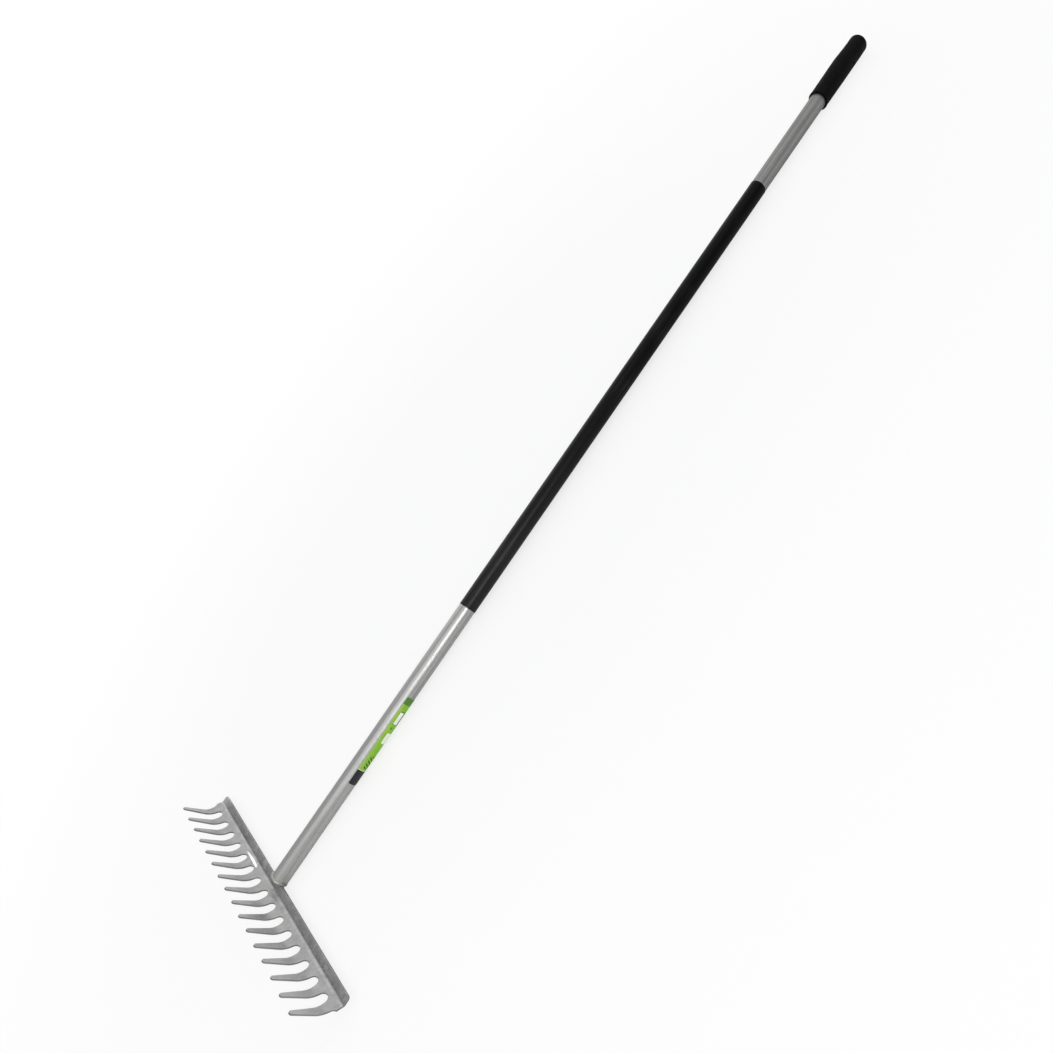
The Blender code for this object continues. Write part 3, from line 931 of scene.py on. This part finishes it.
def make_weld(finish):
    """The weld that joins the tube's end to the flange."""
    low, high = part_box("weld_bead")
    weld = add_piece("weld_run", bmesh.new())
    place = ((low.x + high.x) / 2 + 0.0012, 0.0, AXIS_HEIGHT)
    run_tree(
        weld, make_weld_tree(), Ring_Radius=0.0124, Bead_Radius=0.0016, Ripples=26, Ripple_Depth=0.16,
        Lap_Swell=0.60, Lap_Way=(0.0, 0.77, 0.64), Lap_Reach=0.0014, Far_Shrink=0.40,
        Drawn_Out=1.45, Unevenness=0.0012, Place=place, Finish=finish,
    )
    weld.data.shade_smooth()
    return weld


def make_sleeve(finish):
    """The thin film sleeve, shrunk on, with soft ends and a barely uneven skin."""
    start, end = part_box("handle_sleeve")[0].x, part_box("handle_sleeve")[1].x
    outline = [(start, UNDER_TUBE_SKIN)] + shoulder(start, SLEEVE_RADIUS, SLEEVE_EASE, 3, -1)[::-1]
    for x in even(start + 0.004, end - 0.004, SLEEVE_ROWS):
        outline.append((x, SLEEVE_RADIUS - SLEEVE_WAVE * (1 + sin(x * 61.0) * sin(x * 23.0 + 1.0))))
    outline += shoulder(end, SLEEVE_RADIUS, SLEEVE_EASE, 3, 1) + [(end, UNDER_TUBE_SKIN)]
    return dress(add_piece("film_sleeve", turned(outline, closed=True), sharp=60), finish)


def border(grid):
    """The points round the edge of a grid, in order."""
    return [*grid[0], *[row[-1] for row in grid[1:-1]], *grid[-1][::-1], *[row[0] for row in grid[-2:0:-1]]]


def make_label(finish):
    """The printed label: a thin film with rounded corners, wrapped part of the way round the tube."""
    arc = LABEL_RADIUS * LABEL_ARC
    rows = [LABEL_CORNER * (1 - cos(turn)) for turn in quarter(6)]
    rows += even(LABEL_CORNER, LABEL_LENGTH - LABEL_CORNER, LABEL_ROWS)[1:-1]
    rows += [LABEL_LENGTH - LABEL_CORNER * (1 - cos(turn)) for turn in reversed(quarter(6))]
    shape = bmesh.new()
    flat = shape.loops.layers.uv.new("sheet")
    spots = {}
    layers = []
    for radius in (LABEL_RADIUS, UNDER_TUBE_SKIN):
        grid = []
        for row in rows:
            inset = max(0.0, LABEL_CORNER - row, row - (LABEL_LENGTH - LABEL_CORNER))
            cut = LABEL_CORNER - sqrt(max(0.0, LABEL_CORNER ** 2 - inset ** 2))
            line = []
            for down in even(cut, arc - cut, LABEL_COLUMNS):
                angle = LABEL_TOP_ANGLE + down / LABEL_RADIUS
                vert = shape.verts.new(around(LABEL_START + row, radius, angle))
                spots[vert] = (row / LABEL_LENGTH, down / arc)
                line.append(vert)
            grid.append(line)
        layers.append(grid)
    for grid in layers:
        fill(shape, grid)
    outer, inner = [border(grid) for grid in layers]
    fill(shape, [outer + outer[:1], inner + inner[:1]])
    for face in shape.faces:
        for loop in face.loops:
            loop[flat].uv = spots[loop.vert]
    bmesh.ops.recalc_face_normals(shape, faces=shape.faces)
    return dress(add_piece("printed_label", shape), finish)


# The grip

def ease_between(first, second, share):
    """A smooth passage from one value to another."""
    return first + (second - first) * (1 - cos(pi * share)) / 2


def grip_radius(place):
    """The grip body's radius at a place from the mouth, under its studs."""
    if place < BELLY_PLACE:
        share = max(0.0, place - LIP_WIDTH) / (BELLY_PLACE - LIP_WIDTH)
        return ease_between(MOUTH_RADIUS, BELLY_RADIUS, share) - STUD_RISE
    share = min(1.0, (place - BELLY_PLACE) / (NECK_PLACE - BELLY_PLACE))
    return ease_between(BELLY_RADIUS, NECK_RADIUS, share) - STUD_RISE


def make_stud_tree():
    """Low round studs on the points of a carrier, each facing outwards, without the carrier."""
    tree = Group("grip studs", Carrier="Geometry", Stud_Radius="Float", Stud_Rise="Float", Finish="Material")
    given = tree.given
    stud = tree.step("MeshUVSphere", Segments=8, Rings=6, Radius=given["Stud Radius"])
    flatness = tree.maths("DIVIDE", tree.times(given["Stud Rise"], 1.6), given["Stud Radius"])
    stud = tree.step("Transform", Geometry=stud, Scale=tree.combined(1.0, 1.0, flatness))
    sunk = tree.combined(z=tree.times(given["Stud Rise"], -0.6))
    stud = tree.step("Transform", Geometry=stud, Translation=sunk)
    outwards = tree.step("InputNormal")
    facing = tree.node("FunctionNodeAlignRotationToVector", {"Vector": outwards}, axis="Z")[0]
    studs = tree.step("InstanceOnPoints", Points=given["Carrier"], Instance=stud, Rotation=facing)
    studs = tree.step("RealizeInstances", Geometry=studs)
    return tree.leave_dressed(tree.step("SetShadeSmooth", Geometry=studs))


def make_studs(finish, mouth):
    """The rows of studs over the grip, each row turned half a step from the last."""
    carrier = bmesh.new()
    rows = round((STUDS_TO - STUDS_FROM) / STUD_ROW_PITCH)
    count = round(tau * BELLY_RADIUS / STUD_PITCH)
    rings = []
    for row, place in enumerate(even(STUDS_FROM, STUDS_TO, rows)):
        turn = 0.5 * (row % 2)
        angles = [tau * (step + turn) / count for step in range(count)]
        radius = grip_radius(place)
        rings.append([carrier.verts.new(around(mouth + place, radius, angle)) for angle in angles])
    fill(carrier, [ring + ring[:1] for ring in rings])
    bmesh.ops.recalc_face_normals(carrier, faces=carrier.faces)
    studs = add_piece("grip_studs", carrier)
    return run_tree(studs, make_stud_tree(), Stud_Radius=STUD_RADIUS, Stud_Rise=STUD_RISE, Finish=finish)


def make_grip(finish):
    """The moulded grip: a lipped mouth, a gentle belly, a neck, a domed end and its studs."""
    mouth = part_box("end_grip")[0].x
    outline = [(mouth + GRIP_BORE, UNDER_TUBE_SKIN), (mouth, UNDER_TUBE_SKIN)]
    outline += shoulder(mouth, LIP_RADIUS, LIP_EASE, 4, -1)[::-1]
    outline += shoulder(mouth + LIP_WIDTH, LIP_RADIUS, LIP_EASE, 4, 1)
    for place in even(LIP_WIDTH + 0.0002, GRIP_LENGTH - DOME_HEIGHT - 0.0005, GRIP_ROWS):
        outline.append((mouth + place, grip_radius(place)))
    neck = grip_radius(GRIP_LENGTH)
    for turn in quarter(DOME_STEPS):
        share = sin(turn)
        swell = max(0.0, 1 - share ** DOME_POWER) ** (1 / DOME_POWER)
        x = mouth + GRIP_LENGTH - DOME_HEIGHT * (1 - share)
        outline.append((x, DOME_FLAT + (neck - DOME_FLAT) * swell))
    body = add_piece("moulded_grip", turned(outline, closed=False), sharp=50)
    studs = make_studs(finish, mouth)
    shape = bmesh.new()
    shape.from_mesh(body.data)
    shape.from_mesh(studs.data)
    for vert in shape.verts:
        share = min(1.0, max(0.0, (vert.co.x - mouth - BELLY_PLACE) / (NECK_PLACE - BELLY_PLACE)))
        vert.co += ease_between(0.0, 1.0, share) * Vector(NECK_SET)
    bpy.data.objects.remove(body)
    bpy.data.objects.remove(studs)
    return dress(add_piece("moulded_grip", shape, sharp=50), finish)


# The studio

def emptied(thing):
    """The node tree of a material or a world, with nothing in it yet."""
    thing.use_nodes = True
    thing.node_tree.nodes.clear()
    return Recipe(thing.node_tree)


def make_floor():
    """A pale floor that keeps the shadow, shows nearly white to the camera and is clear from below."""
    shape = bmesh.new()
    bmesh.ops.create_grid(shape, x_segments=1, y_segments=1, size=30.0)
    floor = add_piece("studio_floor", shape)
    floor.data.transform(Matrix.Translation((0.0, 0.0, -0.0004)))
    finish = bpy.data.materials.new("studio floor")
    tree = emptied(finish)
    matt = tree.node("ShaderNodeBsdfDiffuse", {"Color": (0.92, 0.92, 0.92, 1)})[0]
    white = tree.node("ShaderNodeEmission", {"Color": (1, 1, 1, 1), "Strength": 1.0})[0]
    seen = tree.node("ShaderNodeLightPath")["Is Camera Ray"]
    place = tree.node("ShaderNodeTexCoord")["Object"]
    by_rake = tree.near(place, (0.0, 0.0, 0.0), (1.9, 1.3, 1.0))
    share = tree.times(seen, tree.scaled(by_rake, FLOOR_GLOW - 1.0, 1.0))
    lit = tree.node("ShaderNodeMixShader", {0: share, 1: matt, 2: white})[0]
    clear = tree.node("ShaderNodeBsdfTransparent")[0]
    under = tree.node("ShaderNodeNewGeometry")["Backfacing"]
    shown = tree.node("ShaderNodeMixShader", {0: under, 1: lit, 2: clear})[0]
    tree.node("ShaderNodeOutputMaterial", {"Surface": shown})
    dress(floor, finish)


def make_world():
    """Even, fairly dim surroundings that the camera sees as white."""
    world = bpy.data.worlds.new("studio")
    bpy.context.scene.world = world
    tree = emptied(world)
    dim = tree.node("ShaderNodeBackground", {"Color": (0.97, 0.985, 1.0, 1), "Strength": ROOM_LEVEL})[0]
    white = tree.node("ShaderNodeBackground", {"Color": (1, 1, 1, 1), "Strength": 1.0})[0]
    seen = tree.node("ShaderNodeLightPath")["Is Camera Ray"]
    shown = tree.node("ShaderNodeMixShader", {0: seen, 1: dim, 2: white})[0]
    tree.node("ShaderNodeOutputWorld", {"Surface": shown})


def soft_lamp(name, target, direction, distance, size, level):
    """A soft box that gives a white face turned towards it at the target about this level."""
    towards = Vector(direction).normalized()
    data = bpy.data.lights.new(name, "AREA")
    data.shape = "RECTANGLE"
    data.size, data.size_y = size
    data.energy = level * pi ** 2 * distance ** 2
    lamp = added(name, data)
    lamp.location = Vector(target) + towards * distance
    lamp.rotation_euler = towards.to_track_quat("Z", "Y").to_euler()
    lamp.visible_camera = False


def make_camera():
    """The photograph's viewpoint, from above the near side of the head."""
    data = bpy.data.cameras.new("camera")
    data.sensor_width = 36.0
    data.lens = 25.554
    data.shift_x = -0.01752
    data.shift_y = 0.08594
    data.clip_end = 100.0
    camera = added("camera", data)
    camera.location = (-0.306018, -0.834989, 0.719545)
    camera.rotation_euler = (radians(31.5886), radians(33.4969), radians(-47.6481))
    bpy.context.scene.camera = camera


bpy.context.scene.view_settings.view_transform = "Standard"
make_camera()
make_world()
make_floor()
soft_lamp("stripe box", (-0.27, 0.0, 0.0), (0.02, -0.71, 0.70), 2.6, (0.9, 1.10), 0.27)
soft_lamp("overhead box", (-0.55, 0.0, 0.0), (-0.16, -0.26, 0.95), 2.4, (1.5, 2.2), 0.18)
soft_lamp("front box", (-0.60, 0.0, 0.0), (-0.30, -0.86, 0.40), 2.6, (2.2, 1.3), 0.025)
soft_lamp("handle end box", (0.50, 0.0, 0.0), (0.65, -0.12, 0.75), 3.0, (2.6, 3.2), 0.22)
soft_lamp("far box", (-0.76, 0.0, 0.0), (0.55, 0.71, 0.44), 3.0, (3.2, 2.4), 0.22)

head = make_head(make_head_paint())
tube = make_tube(make_tube_finish())
weld = make_weld(make_weld_finish())
sleeve = make_sleeve(make_sleeve_film())
label = make_label(make_label_print())
grip = make_grip(make_grip_plastic())

stands_for = [
    (head, "rake_head", "head_paint"),
    (tube, "handle_tube", "tube_paint"),
    (weld, "weld_bead", "weld_paint"),
    (sleeve, "handle_sleeve", "sleeve_film"),
    (label, "handle_label", "label_film"),
    (grip, "end_grip", "grip_plastic"),
]
for piece, node, slot in stands_for:
    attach(piece, "root")
    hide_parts(node)
